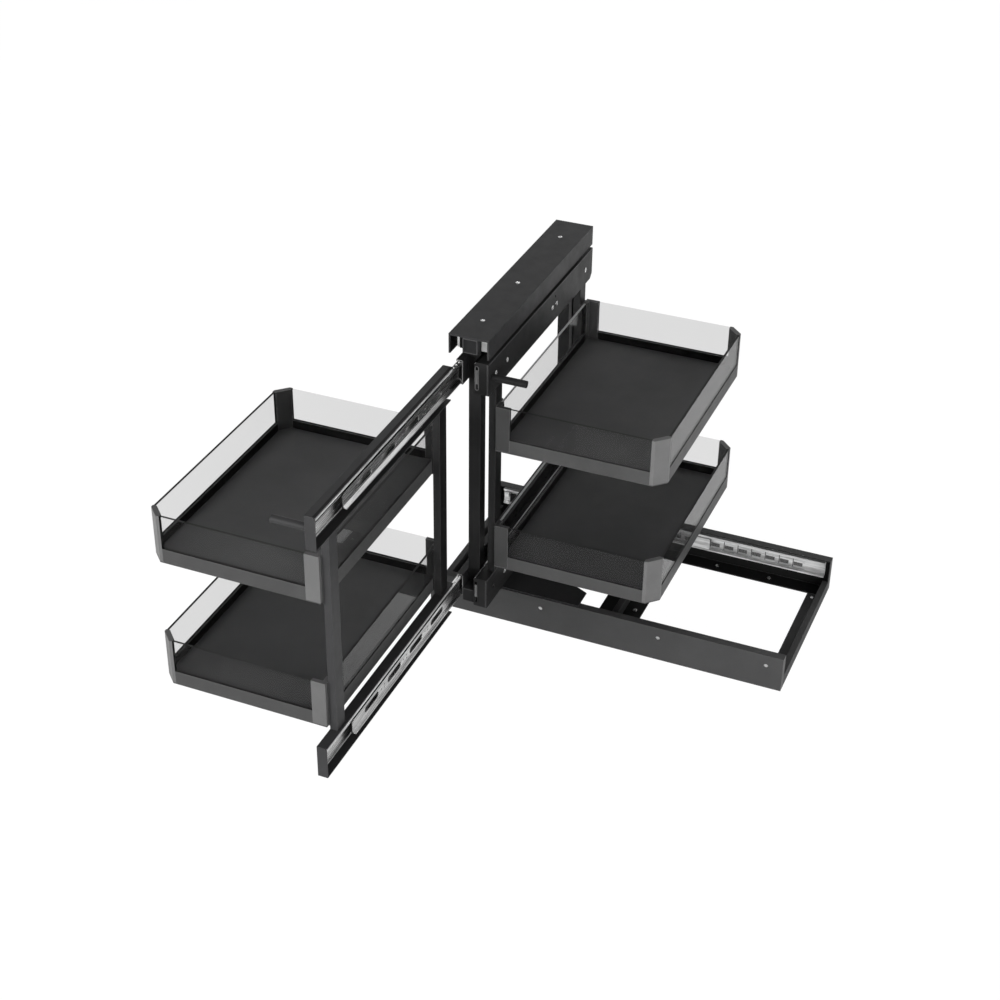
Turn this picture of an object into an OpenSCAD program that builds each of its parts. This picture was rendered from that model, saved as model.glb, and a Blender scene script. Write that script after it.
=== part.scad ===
// Blind corner pull out: a floor base, a carriage that runs sideways on it, and two groups of
// glass-sided baskets that run forwards on three-member ball slides, one group on each side.
// Origin: centre of the base on the cabinet floor. X runs along the base, Y to the back, Z up.
// The front (left) group is drawn pulled out, the rear (right) group pushed in.

/* [Base] */
// Length of the base along the cabinet
base_len = 664; // [600:1:760]
// Depth of the base from front face to back face
base_depth = 337; // [320:1:380]
// Height of the front and back rails
base_h = 68; // [66:0.5:90]
// Sheet thickness of the base
base_t = 2; // [1.5:0.1:3]
// Depth of the rails' top flange
top_flange = 15.5; // [15:0.1:15.8]
// Depth of the rails' floor flange
floor_flange = 34; // [25:1:50]
// Width of an end rail
end_w = 32.5; // [28:0.5:45]
// Width of the stiffening rib on the end rails and the cross member
rib_w = 11; // [8:0.5:14]
// Height of that rib
rib_h = 23; // [10:1:26]
// Width of the cross member
cross_w = 78; // [60:1:100]
// Centre of the cross member from the base's centre
cross_x = 1; // [-40:0.5:40]
// Height of the holes in the rails
rail_hole_z = 46; // [40:0.5:50]
// Diameter of the holes in the rails
rail_hole_d = 8; // [5:0.5:10]
// Distance of the outer rail holes from the base's centre
rail_hole_outer = 302; // [250:1:310]
// Distance of the inner rail holes from their common centre
rail_hole_inner = 111; // [60:1:160]
// Common centre of the inner rail holes from the base's centre
rail_hole_shift = -5; // [-20:1:20]
// Diameter of the floor screw holes
floor_hole_d = 5; // [4:0.5:6]
// Floor screw holes of the end rails, along the base from its centre
end_hole_x = 311; // [306:0.5:312]
// Floor screw holes of the end rails, from the centre towards front and back
end_hole_y = 122.5; // [60:0.5:126]
// Spacing of the floor screw holes along the front and back rails
rail_screw_pitch = 102; // [60:1:120]

/* [Carriage] */
// Centre of the frame tubes along X, from the base's centre
carriage_x = -227.5; // [-230:0.5:-210]
// Centre of the carriage along Y, from the base's centre
carriage_y = 13; // [5:0.5:20]
// Length of the cap and of the frame tubes
carriage_len = 487; // [470:1:500]
// Overall height above the floor
total_h = 601; // [560:1:700]
// Side of the square frame tubes
tube = 27; // [24:0.5:30]
// Wall of the square frame tubes
tube_t = 2; // [1.5:0.1:3]
// Side of the square posts, flush with the left side of the tubes
post = 21.5; // [18:0.5:22]
// Distance of the front post from the front end of the tubes
post_inset = 27; // [15:0.5:40]
// Distance of the back post from the back end of the tubes
back_post_inset = 22; // [15:0.5:40]
// Width of the cap over the carriage
cap_w = 72; // [70:0.5:80]
// Centre of the cap from the centre of the tubes
cap_shift = -2.5; // [-4:0.5:2]
// Height of the cap's side walls
cap_h = 36; // [30:0.5:36.5]
// Sheet thickness of the cap
cap_t = 3; // [2:0.1:4]
// Sheet thickness of the shoes
shoe_t = 2; // [1.5:0.1:2.1]
// Diameter of the three holes in the cap
cap_hole_d = 6; // [4:0.5:8]
// Places of those holes, as shares of the cap's length
cap_hole_shares = [0.13, 0.445, 0.86]; // [0.05:0.005:0.95]
// Distance of those holes from the centre of the tubes
cap_hole_x = -4.5; // [-8:0.5:8]
// Gap between the base's rails and the shoes that run over them
shoe_gap = 0.6; // [0.4:0.1:0.7]
// Length of the shoes along X
shoe_len = 230; // [200:1:270]
// Depth of a shoe's top plate
shoe_depth = 55; // [50:1:80]
// Depth of a shoe's down flange
shoe_drop = 34; // [20:1:40]
// Distance from the carriage's centre to the shoes' left end
shoe_left = 47.5; // [40:0.5:90]
// Corner cut of the shoes along X
shoe_cut = 24; // [10:1:40]
// How far a shoe's plate reaches over the rail
shoe_over = 13; // [6:0.5:15]

/* [Slides] */
// Sheet thickness of the slide members
slide_t = 1.4; // [1.2:0.1:1.5]
// Half height of a group slide's outer member
outer_half = 22.6; // [21.5:0.1:24]
// Depth of a group slide's outer member
outer_depth = 12; // [11:0.1:13]
// Half height of the middle member
mid_half = 17; // [16.6:0.1:17.3]
// How far the middle member's ball races stand off the carriage
race_stand = 1.8; // [1.7:0.1:2.2]
// Height of one ball race on the middle member's face
race_h = 2.2; // [2:0.1:4]
// Height of the slope from a ball race to the hollow
race_slope = 6; // [4:0.5:7]
// Depth of the hollow between the two ball races
race_rise = 3.2; // [2:0.1:3.4]
// Where the middle member's legs end, from the carriage
mid_to = 12; // [11:0.1:13]
// Share of a group's travel that the middle member makes
mid_share = 0.8317; // [0.6:0.01:0.84]
// Half height of the inner member
inner_half = 12; // [11:0.1:12.8]
// Where the inner member's legs start, from the carriage
inner_from = 7.2; // [7:0.1:8]
// Length of the slots in the middle member
slot_len = 51; // [20:1:60]
// Height of those slots
slot_h = 12; // [4:0.5:14]
// Spacing of those slots
slot_pitch = 86; // [70:1:100]
// First slot behind the front end of the middle member
slot_first = 70; // [50:1:100]
// Diameter of the small holes between the slots
small_hole_d = 3.6; // [2.5:0.1:4.5]
// Cut of the middle member's lower front corner
tip_cut = 7; // [4:0.5:9]
// Number of balls in one row of a cage
ball_count = 9; // [4:1:14]
// Spacing of the balls in a cage
ball_pitch = 11; // [8:0.5:12]
// Gap between the balls and the member that moves past them
ball_gap = 0.3; // [0.2:0.05:0.5]
// Front end of an inner ball cage behind the front end of its channel
inner_cage_y = 100; // [20:1:120]
// Thickness of the ball cages
cage_t = 0.6; // [0.5:0.1:0.7]
// Height of the side slides' centre line
side_z = 44; // [42:0.5:46]
// Half height of a side slide's fixed member
side_half = 16.4; // [15.8:0.1:17]
// Depth of a side slide's fixed member
side_depth = 11.5; // [11:0.1:11.8]
// Half height of a side slide's moving member
side_inner_half = 11.2; // [10:0.1:11.6]
// Where a side slide's moving member starts, from the rail's web
side_from = 4; // [3.4:0.1:4.5]
// Where a side slide's moving member ends, from the rail's web
side_to = 14; // [13.8:0.1:14.2]
// Length of a side slide's fixed member
side_len = 642; // [600:1:650]
// Length of a side slide's moving member
side_runner_len = 420; // [380:1:422]
// Number of windows in a side slide's ball cage
window_count = 21; // [18:1:22]
// Spacing of the windows in a side slide's ball cage
window_pitch = 26.7; // [22:0.1:27]
// Length of those windows
window_len = 17; // [8:0.5:18]
// Height of those windows
window_h = 12; // [6:0.5:13]

/* [Basket groups] */
// How much longer the channels are than the carriage
channel_extra = 1; // [0:0.5:4]
// Width of the front group's channels
front_channel_w = 17.5; // [17:0.1:20]
// Width of the rear group's channels
rear_channel_w = 21.5; // [17:0.1:24]
// Height of a channel
channel_h = 59; // [54:0.5:60]
// Sheet thickness of a channel
channel_t = 1.5; // [1.5:0.1:2]
// Gap between the carriage and the channels' open side
channel_gap = 1.5; // [1:0.1:3]
// Underside of the lower channels above the floor
channel_low_z = 71; // [71:0.5:74]
// Gap between the cap's walls and the upper channels
cap_clear = 3.5; // [2:0.5:6]
// Places of the round holes in a channel's web, as shares of its length
web_hole_shares = [0.062, 0.162, 0.587, 0.628, 0.926]; // [0.05:0.001:0.96]
// Diameter of these holes, which show the inner slide member's screws
web_hole_d = 8; // [6:0.5:10]
// Place of the small hole above the middle ones, as a share of the length
web_pin_share = 0.615; // [0.4:0.001:0.8]
// Cut of a channel's lower back corner
channel_cut = 8.5; // [4:0.5:12]
// Width of the slot in the rear channels' front plates
plate_slot_w = 5.5; // [4:0.5:7]
// Height of that slot
plate_slot_h = 44; // [30:1:46]
// How far the rear channels' front plates reach past the channels' open side
plate_reach = 4; // [2:0.5:5]
// Rounding of a front plate's upper corner
plate_round = 5; // [3:0.5:8]
// How far a channel's front end stands before the carriage
channel_lead = 7; // [4:0.5:12]
// How much further than its channels' length a group travels
travel_extra = 29; // [10:1:32]
// Front group's baskets behind the front end of its channels
front_set_back = 41; // [26:1:44]
// Rear group's baskets behind the front end of its channels
rear_set_back = 27; // [26:1:44]
// Width of an upright
upright_w = 13; // [10:0.5:14]
// Depth of an upright
upright_d = 26; // [20:1:32]
// Distance of the uprights from the baskets' ends
upright_inset = 6; // [3:0.5:12]
// Diameter of the round rods at the top front
rod_d = 12.6; // [10:0.1:14]
// Length of the round rods
rod_len = 62; // [40:1:80]
// Distance of a rod's axis behind the front end of its channel
rod_y = 14; // [10:0.5:24]

/* [Baskets] */
// Width of a basket
basket_w = 300; // [250:1:320]
// Depth of a basket
basket_d = 436; // [400:1:438]
// Height of a basket
basket_h = 86; // [70:1:110]
// Height of the metal rim
rim_h = 26; // [22:0.5:35]
// Thickness of the rim
rim_w = 7; // [6:0.5:10]
// Thickness of the sheet under the board
pan_t = 2; // [1.5:0.1:3]
// Width of the sheet under the board
pan_w = 34; // [32:1:50]
// Thickness of the board
board_t = 9.5; // [8:0.5:16]
// Thickness of the glass panels
glass_t = 4; // [4:0.5:6]
// Distance of the glass behind the rim's outer face
glass_inset = 1; // [0.5:0.1:2]
// Distance of the glass top below the posts' top
glass_drop = 0.5; // [0:0.5:5]
// Corner cut of the outer posts
post_cut = 20; // [14:0.5:26]
// Flat part of an outer post beside the corner cut
post_flat = 5.5; // [4:0.5:7]
// Thickness of the posts
post_t = 7; // [6:0.5:8]
// Width of an inner post along X
inner_post_w = 25; // [18:0.5:30]
// Depth of an inner post along Y
inner_post_d = 20; // [14:0.5:26]
// Thickness of the hanger plates between basket and uprights
hanger_t = 2.2; // [1.5:0.1:5]
// Underside of the front group's lower basket above the floor
front_low_z = 136.5; // [132:0.5:200]
// Underside of the front group's upper basket above the floor
front_top_z = 375.5; // [300:0.5:400]
// Underside of the rear group's lower basket above the floor
rear_low_z = 145; // [132:0.5:200]
// Underside of the rear group's upper basket above the floor
rear_top_z = 383; // [300:0.5:400]

/* [Hidden] */
$fn = 48;
// small overshoot that makes a cut go right through
over = 0.5;

base_color = "#4d4d4f";
steel_color = "#c9ccce";
frame_color = "#39393b";
post_color = "#727274";
board_color = "#38383a";

// carriage heights
tube_z = base_h + shoe_gap + shoe_t;
top_tube_z = total_h - cap_t - tube;
channel_top_z = total_h - cap_h - cap_clear - channel_h;
carriage_front = carriage_y - carriage_len / 2;
// sides of the carriage that carry the group slides
front_face_x = carriage_x - tube / 2;
rear_face_x = carriage_x + tube / 2;
// outer faces of the channels' webs
front_web_x = front_face_x - channel_gap - front_channel_w;
rear_web_x = rear_face_x + channel_gap + rear_channel_w;
// room for a slide between the carriage and a channel's web
front_room = channel_gap + front_channel_w - channel_t;
rear_room = channel_gap + rear_channel_w - channel_t;
// front ends of the channels, and of the outer and middle members, at rest
closed_front = carriage_front - channel_lead;
channel_len = carriage_len + channel_extra;
travel = channel_len + travel_extra;
front_y = closed_front - travel;
// the slides' outer and middle members stop short of the carriage's ends
slide_inset = 2;
outer_front = carriage_front + slide_inset;
slide_len = carriage_len - 1.5 * slide_inset;
mid_travel = mid_share * travel;
// centre lines of the slides
low_slide_z = channel_low_z + channel_h / 2;
top_slide_z = channel_top_z + channel_h / 2;
// inner side of a base rail, where its side slide is fixed
rail_face_y = -base_depth / 2 + base_t;

// a profile in X and Z, run along +Y
module along_y(len) {
    rotate([90, 0, 0]) translate([0, 0, -len]) linear_extrude(len) children();
}

// a profile in Y and Z, run along +X
module along_x(len) {
    rotate([90, 0, 90]) linear_extrude(len) children();
}

// the same shape and its mirror image in the base's middle plane
module at_back() {
    mirror([0, 1, 0]) children();
}

// Base

// front rail: face, top flange, floor flange and closed ends, seen from its left end
module rail() {
    color(base_color) difference() {
        union() {
            translate([-base_len / 2, -base_depth / 2, 0]) along_x(base_len) union() {
                square([base_t, base_h]);
                translate([0, base_h - base_t]) square([top_flange, base_t]);
                square([floor_flange, base_t]);
            }
            for (x = [-base_len / 2, base_len / 2 - base_t])
                translate([x, -base_depth / 2, 0]) cube([base_t, top_flange, base_h]);
        }
        for (x = [-rail_hole_outer, rail_hole_shift - rail_hole_inner,
                  rail_hole_shift + rail_hole_inner, rail_hole_outer])
            translate([x, -base_depth / 2 - over, rail_hole_z])
                rotate([-90, 0, 0]) cylinder(d = rail_hole_d, h = base_t + 2 * over);
        for (x = [-1.5, -0.5, 0.5, 1.5])
            translate([x * rail_screw_pitch + rail_screw_pitch / 2 + 18,
                       -base_depth / 2 + floor_flange / 2 + 1, -over])
                cylinder(d = floor_hole_d, h = base_t + 2 * over);
    }
}

module base_front_rail() { rail(); }
module base_back_rail() { at_back() rail(); }

// folded rib, an upturned channel of sheet
module rib_profile() {
    difference() {
        square([rib_w, rib_h]);
        translate([base_t, -over]) square([rib_w - 2 * base_t, rib_h - base_t + over]);
    }
}

// space that the front and back rails take at floor level and at the ends
module rail_clearance() {
    for (s = [-1, 1]) scale([1, s, 1]) {
        translate([-base_len, -base_depth / 2 - over, -over])
            cube([2 * base_len, floor_flange + over, base_t + over]);
        translate([-base_len, -base_depth / 2 - over, -over])
            cube([2 * base_len, top_flange + over, base_h]);
    }
}

module end_rail() {
    color(base_color) difference() {
        translate([base_len / 2 - end_w, -base_depth / 2, 0]) along_y(base_depth) union() {
            square([end_w - rib_w + base_t, base_t]);
            translate([end_w - rib_w, 0]) rib_profile();
        }
        rail_clearance();
        for (y = [-end_hole_y, end_hole_y]) translate([end_hole_x, y, -over])
            cylinder(d = floor_hole_d, h = base_t + 2 * over);
    }
}

module base_right_rail() { end_rail(); }
module base_left_rail() { mirror([1, 0, 0]) end_rail(); }

module base_cross_member() {
    color(base_color) difference() {
        translate([cross_x - cross_w / 2, -base_depth / 2, 0]) along_y(base_depth) union() {
            square([(cross_w - rib_w) / 2 + base_t, base_t]);
            translate([(cross_w + rib_w) / 2 - base_t, 0])
                square([(cross_w - rib_w) / 2 + base_t, base_t]);
            translate([(cross_w - rib_w) / 2, 0]) rib_profile();
        }
        rail_clearance();
        translate([-base_len / 2, -base_depth / 2, base_t]) cube([base_len, floor_flange, rib_h]);
        translate([-base_len / 2, base_depth / 2 - floor_flange, base_t])
            cube([base_len, floor_flange, rib_h]);
        for (y = [-1, 1]) translate([cross_x + cross_w / 4 + rib_w / 4, y * 48, -over])
            cylinder(d = floor_hole_d, h = base_t + 2 * over);
    }
}

// Side slides

// fixed member: web on the rail, two legs and the lips that hold the balls
module side_rail_profile() {
    translate([0, -side_half]) square([slide_t, 2 * side_half]);
    for (s = [-1, 1]) scale([1, s]) {
        translate([0, side_half - slide_t]) square([side_depth, slide_t]);
        translate([side_depth - slide_t, side_half - 2 * slide_t]) square([slide_t, 2 * slide_t]);
    }
}

module side_runner_profile() {
    translate([side_to - slide_t, -side_inner_half]) square([slide_t, 2 * side_inner_half]);
    for (s = [-1, 1]) scale([1, s])
        translate([side_from, side_inner_half - slide_t])
            square([side_to - side_from, slide_t]);
}

// ball cage of a side slide: a flat channel with windows, and balls that touch the fixed member
side_ball_r = (side_half - slide_t - side_inner_half - ball_gap) / 2;
side_ball_v = side_half - slide_t - side_ball_r;
cage_len = window_count * window_pitch;

module side_cage() {
    difference() {
        along_x(cage_len) {
            translate([slide_t, -side_ball_v - cage_t / 2])
                square([cage_t, 2 * side_ball_v + cage_t]);
            for (s = [-1, 1]) scale([1, s])
                translate([slide_t, side_ball_v - cage_t / 2]) square([side_depth - 4, cage_t]);
        }
        for (i = [0 : window_count - 1])
            translate([(i + 0.5) * window_pitch - window_len / 2, slide_t - over, -window_h * 0.8])
                cube([window_len, cage_t + 2 * over, window_h]);
    }
    for (i = [1 : window_count - 1], s = [-1, 1])
        translate([i * window_pitch, slide_t + 4, s * side_ball_v])
            sphere(r = side_ball_r, $fn = 24);
}

module on_front_rail(x) {
    translate([x, rail_face_y, side_z]) children();
}

module front_side_slide_rail() {
    color(steel_color) on_front_rail(-side_len / 2) along_x(side_len) side_rail_profile();
}
module back_side_slide_rail() { at_back() front_side_slide_rail(); }

module front_side_ball_cage() {
    color(steel_color) on_front_rail(side_len / 2 - 38 - cage_len) side_cage();
}
module back_side_ball_cage() { at_back() front_side_ball_cage(); }

module front_side_slide_runner() {
    color(steel_color) on_front_rail(2.5 - side_len / 2) along_x(side_runner_len)
        side_runner_profile();
}
module back_side_slide_runner() { at_back() front_side_slide_runner(); }

// Carriage

// shoe: a plate over the rail with a flange down to the side slide, and a cut corner
module carriage_front_shoe() {
    flange_y = rail_face_y + side_to;
    cut_y = flange_y - shoe_over + shoe_depth;
    color(frame_color) translate([carriage_x - shoe_left, 0, 0]) {
        translate([0, 0, tube_z - shoe_t]) linear_extrude(shoe_t) polygon([
            [0, flange_y - shoe_over], [shoe_len, flange_y - shoe_over],
            [shoe_len, cut_y - shoe_cut / 2], [shoe_len - shoe_cut, cut_y], [0, cut_y]
        ]);
        translate([0, flange_y, tube_z - shoe_drop - shoe_t])
            cube([shoe_len, shoe_t, shoe_drop + over]);
    }
}
module carriage_back_shoe() { at_back() carriage_front_shoe(); }

// square tube with closed ends, centred on X
module frame_tube(z) {
    color(frame_color) translate([front_face_x, carriage_front, z]) difference() {
        cube([tube, carriage_len, tube]);
        translate([tube_t, tube_t, tube_t])
            cube([tube - 2 * tube_t, carriage_len - 2 * tube_t, tube - 2 * tube_t]);
    }
}

module carriage_bottom_tube() { frame_tube(tube_z); }
module carriage_top_tube() { frame_tube(top_tube_z); }

// square post with the packers that bring the rear group's slides level with the tubes
module frame_post(y) {
    color(frame_color) translate([front_face_x, y, 0]) {
        translate([0, 0, tube_z + tube]) difference() {
            cube([post, post, top_tube_z - tube_z - tube]);
            translate([tube_t, tube_t, -over])
                cube([post - 2 * tube_t, post - 2 * tube_t, total_h]);
        }
        translate([post, 0, tube_z + tube])
            cube([tube - post, post, low_slide_z + outer_half - tube_z - tube]);
        translate([post, 0, top_slide_z - outer_half]) cube([tube - post, post, 2 * outer_half]);
    }
}

module carriage_front_post() { frame_post(carriage_front + post_inset); }
module carriage_back_post() {
    frame_post(carriage_front + carriage_len - back_post_inset - post);
}

// cap: an upturned channel over the top tube, with three holes
module carriage_cap() {
    color(frame_color) translate([carriage_x + cap_shift, carriage_front, 0]) difference() {
        translate([-cap_w / 2, 0, total_h - cap_h]) along_y(carriage_len) difference() {
            square([cap_w, cap_h]);
            translate([cap_t, -over]) square([cap_w - 2 * cap_t, cap_h - cap_t + over]);
        }
        for (share = cap_hole_shares)
            translate([cap_hole_x - cap_shift, share * carriage_len, total_h - cap_t - over])
                cylinder(d = cap_hole_d, h = cap_t + 2 * over);
    }
}

// Group slides. Profiles are drawn from the carriage's side outwards to the channel's web.

module outer_profile() {
    translate([0, -outer_half]) square([slide_t, 2 * outer_half]);
    for (s = [-1, 1]) scale([1, s]) {
        translate([0, outer_half - slide_t]) square([outer_depth, slide_t]);
        translate([outer_depth - slide_t, outer_half - 2 * slide_t])
            square([slide_t, 2 * slide_t]);
    }
}

// sheet with two raised ball races, and legs that reach back into the channel
module middle_profile() {
    web = race_stand + race_rise;
    low = mid_half - race_h;
    slope_end = low - race_slope;
    half = [
        [web, slope_end], [race_stand, low], [race_stand, mid_half], [mid_to, mid_half],
        [mid_to, mid_half - slide_t], [race_stand + slide_t, mid_half - slide_t],
        [race_stand + slide_t, low + slide_t / 2], [web + slide_t, slope_end + slide_t / 2]
    ];
    last = len(half) - 1;
    polygon(concat(half, [for (i = [last : -1 : 0]) [half[i][0], -half[i][1]]]));
}

module inner_profile(room) {
    translate([room - slide_t, -inner_half]) square([slide_t, 2 * inner_half]);
    for (s = [-1, 1]) scale([1, s])
        translate([inner_from, inner_half - slide_t]) square([room - inner_from, slide_t]);
}

// round-ended slot along Y, cut through whatever stands within its depth along X
module web_slot(len, h, depth) {
    along_x(depth) {
        translate([-(len - h) / 2, -h / 2]) square([len - h, h]);
        for (s = [-1, 1]) translate([s * (len - h) / 2, 0]) circle(d = h);
    }
}

module slide_outer() {
    along_y(slide_len) outer_profile();
}

module slide_middle() {
    cut_depth = race_rise + 2 * slide_t;
    difference() {
        along_y(slide_len) middle_profile();
        for (i = [0 : 3]) translate([race_stand, slot_first + i * slot_pitch, 0])
            web_slot(slot_len, slot_h, cut_depth);
        // three small rivet holes between each two slots
        for (i = [0 : 2], at = [[-6, 0], [5, -3.2], [5, 3.2]])
            translate([race_stand, slot_first + (i + 0.5) * slot_pitch + at[0], at[1]])
                rotate([0, 90, 0]) cylinder(d = small_hole_d, h = cut_depth);
        // cut lower front corner
        translate([0, 0, -mid_half]) rotate([45, 0, 0]) translate([0, -tip_cut / 2, -tip_cut / 2])
            cube([mid_to + over, tip_cut, tip_cut]);
    }
}

// Ball cages: two strips with balls. The balls touch the legs at height v and stay clear of
// the next member's legs.
cage_rows_len = (ball_count + 1) * ball_pitch;
ball_r = (outer_half - slide_t - mid_half - ball_gap) / 2;
inner_ball_r = (mid_half - slide_t - inner_half - ball_gap) / 2;

module ball_rows(x, w, v, r) {
    for (s = [-1, 1]) scale([1, 1, s]) translate([x, 0, v + r]) {
        translate([-w / 2, 0, -cage_t / 2]) cube([w, cage_rows_len, cage_t]);
        for (i = [1 : ball_count]) translate([0, i * ball_pitch, 0]) sphere(r = r, $fn = 24);
    }
}

// cage between the outer and the middle member
module ball_cage() {
    ball_rows(outer_depth / 2, outer_depth - slide_t - race_stand - 2, mid_half, ball_r);
}

// inner member, with the cage that runs between it and the middle member
module slide_inner(room) {
    along_y(channel_len - 2 * channel_t) inner_profile(room);
    translate([0, inner_cage_y, 0])
        ball_rows((inner_from + mid_to) / 2, mid_to - inner_from - 1, inner_half, inner_ball_r);
}

// places what is drawn from the carriage's side, for the front and the rear group
module front_slide(y, z) {
    color(steel_color) translate([front_face_x, y, z]) mirror([1, 0, 0]) children();
}
module rear_slide(y, z) {
    color(steel_color) translate([rear_face_x, y, z]) children();
}

module front_top_slide_outer() { front_slide(outer_front, top_slide_z) slide_outer(); }
module front_low_slide_outer() { front_slide(outer_front, low_slide_z) slide_outer(); }
module rear_top_slide_outer() { rear_slide(outer_front, top_slide_z) slide_outer(); }
module rear_low_slide_outer() { rear_slide(outer_front, low_slide_z) slide_outer(); }

module front_top_slide_middle() { front_slide(outer_front - mid_travel, top_slide_z) slide_middle(); }
module front_low_slide_middle() { front_slide(outer_front - mid_travel, low_slide_z) slide_middle(); }
module rear_top_slide_middle() { rear_slide(outer_front, top_slide_z) slide_middle(); }
module rear_low_slide_middle() { rear_slide(outer_front, low_slide_z) slide_middle(); }

// the cages sit at the back end of the middle members
cage_back = slide_len - cage_rows_len;
module front_top_ball_cage() {
    front_slide(outer_front - mid_travel + cage_back, top_slide_z) ball_cage();
}
module front_low_ball_cage() {
    front_slide(outer_front - mid_travel + cage_back, low_slide_z) ball_cage();
}
module rear_top_ball_cage() { rear_slide(outer_front + cage_back, top_slide_z) ball_cage(); }
module rear_low_ball_cage() { rear_slide(outer_front + cage_back, low_slide_z) ball_cage(); }

module front_top_slide_inner() {
    front_slide(front_y + channel_t, top_slide_z) slide_inner(front_room);
}
module front_low_slide_inner() {
    front_slide(front_y + channel_t, low_slide_z) slide_inner(front_room);
}
module rear_top_slide_inner() {
    rear_slide(closed_front + channel_t, top_slide_z) slide_inner(rear_room);
}
module rear_low_slide_inner() {
    rear_slide(closed_front + channel_t, low_slide_z) slide_inner(rear_room);
}

// Channels, drawn from the web's outer face towards the carriage

module channel(w, reach = 0) {
    plate_w = w + reach;
    difference() {
        union() {
            along_y(channel_len) difference() {
                square([w, channel_h]);
                translate([channel_t, channel_t]) square([w, channel_h - 2 * channel_t]);
            }
            cube([plate_w, channel_t, channel_h]);
        }
        // screw holes at the slide's height, and a small one above
        for (share = web_hole_shares) translate([-over, share * channel_len, channel_h / 2])
            rotate([0, 90, 0]) cylinder(d = web_hole_d, h = channel_t + 2 * over);
        translate([-over, web_pin_share * channel_len, channel_h / 2 + inner_half + floor_hole_d])
            rotate([0, 90, 0]) cylinder(d = floor_hole_d, h = channel_t + 2 * over);
        // cut lower corner at the back end
        translate([-over, channel_len, 0]) rotate([45, 0, 0])
            translate([0, -channel_cut / 2 * sqrt(2), -channel_cut / 2 * sqrt(2)])
                cube([w + 2 * over, channel_cut * sqrt(2), channel_cut * sqrt(2)]);
        // rounded upper corner of the front plate, at the open side
        translate([plate_w - plate_round, -over, channel_h - plate_round]) difference() {
            cube([plate_round + over, channel_t + 2 * over, plate_round + over]);
            rotate([-90, 0, 0]) cylinder(r = plate_round, h = channel_t + 2 * over);
        }
        if (reach > 0)
            translate([plate_w - plate_slot_w / 2 - 1.5, -over, channel_h / 2])
                rotate([0, 0, 90]) rotate([0, 90, 0]) rotate([0, 0, 90])
                    linear_extrude(channel_t + 2 * over) {
                        square([plate_slot_w, plate_slot_h - plate_slot_w], center = true);
                        for (s = [-1, 1]) translate([0, s * (plate_slot_h - plate_slot_w) / 2])
                            circle(d = plate_slot_w);
                    }
    }
}

module front_channel(z) {
    color(frame_color) translate([front_web_x, front_y, z]) channel(front_channel_w);
}
module rear_channel(z) {
    color(frame_color) translate([rear_web_x, closed_front, z]) mirror([1, 0, 0])
        channel(rear_channel_w, reach = plate_reach);
}

module front_top_channel() { front_channel(channel_top_z); }
module front_low_channel() { front_channel(channel_low_z); }
module rear_top_channel() { rear_channel(channel_top_z); }
module rear_low_channel() { rear_channel(channel_low_z); }

// Uprights between the channels, drawn like them

module upright() {
    difference() {
        cube([upright_w, upright_d, channel_top_z - channel_low_z - channel_h]);
        translate([channel_t, channel_t, -over])
            cube([upright_w - 2 * channel_t, upright_d - 2 * channel_t, total_h]);
    }
}

module front_upright(y) {
    color(frame_color)
        translate([front_web_x, front_y + front_set_back + y, channel_low_z + channel_h]) upright();
}
module rear_upright(y) {
    color(frame_color) translate([rear_web_x, closed_front + rear_set_back + y,
                                  channel_low_z + channel_h]) mirror([1, 0, 0]) upright();
}

far_upright = basket_d - upright_inset - upright_d;
module front_group_front_upright() { front_upright(upright_inset); }
module front_group_rear_upright() { front_upright(far_upright); }
module rear_group_front_upright() { rear_upright(upright_inset); }
module rear_group_rear_upright() { rear_upright(far_upright); }

module front_group_rod() {
    color(frame_color) translate([front_web_x, front_y + rod_y, top_slide_z])
        rotate([0, -90, 0]) cylinder(d = rod_d, h = rod_len);
}
module rear_group_rod() {
    color(frame_color) translate([rear_web_x, closed_front + rod_y, top_slide_z])
        rotate([0, 90, 0]) cylinder(d = rod_d, h = rod_len);
}

// Baskets, drawn with their inner side at X = 0, their body towards +X and their front at Y = 0

// plan of an outer post: a strip across the cut corner
module outer_post_plan() {
    far = post_cut + post_flat;
    polygon([[post_cut, 0], [0, post_cut], [0, far], [post_t, far], [far, post_t], [far, 0]]);
}

module inner_post_plan() {
    difference() {
        square([inner_post_w, inner_post_d]);
        translate([post_t, post_t]) square([inner_post_w, inner_post_d]);
    }
}

// all four posts, in plan
module post_plans() {
    inner_post_plan();
    translate([0, basket_d]) mirror([0, 1]) inner_post_plan();
    translate([basket_w, 0]) mirror([1, 0]) outer_post_plan();
    translate([basket_w, basket_d]) rotate(180) outer_post_plan();
}

module basket_plan() {
    polygon([
        [0, 0], [basket_w - post_cut, 0], [basket_w, post_cut],
        [basket_w, basket_d - post_cut], [basket_w - post_cut, basket_d], [0, basket_d]
    ]);
}

// plan of the opening inside the rim, with its outer corners cut behind the posts
module opening_plan(w) {
    cut = max(post_cut + post_flat + post_t - 2 * w, post_flat);
    polygon([
        [w, w], [basket_w - w - cut, w], [basket_w - w, w + cut],
        [basket_w - w, basket_d - w - cut], [basket_w - w - cut, basket_d - w], [w, basket_d - w]
    ]);
}

module basket_frame() {
    // sheet that the board and the posts stand on
    linear_extrude(pan_t) difference() {
        basket_plan();
        opening_plan(pan_w);
    }
    // rim between the posts
    translate([0, 0, pan_t]) linear_extrude(rim_h - pan_t) difference() {
        basket_plan();
        translate([rim_w, rim_w]) square([basket_w - 2 * rim_w, basket_d - 2 * rim_w]);
        post_plans();
    }
    // hanger plates against the uprights
    for (y = [upright_inset, far_upright]) {
        translate([-hanger_t, y, 0]) cube([hanger_t, upright_d, basket_h]);
    }
}

module basket_board() {
    translate([0, 0, pan_t]) linear_extrude(board_t) difference() {
        opening_plan(rim_w);
        post_plans();
    }
}

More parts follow.
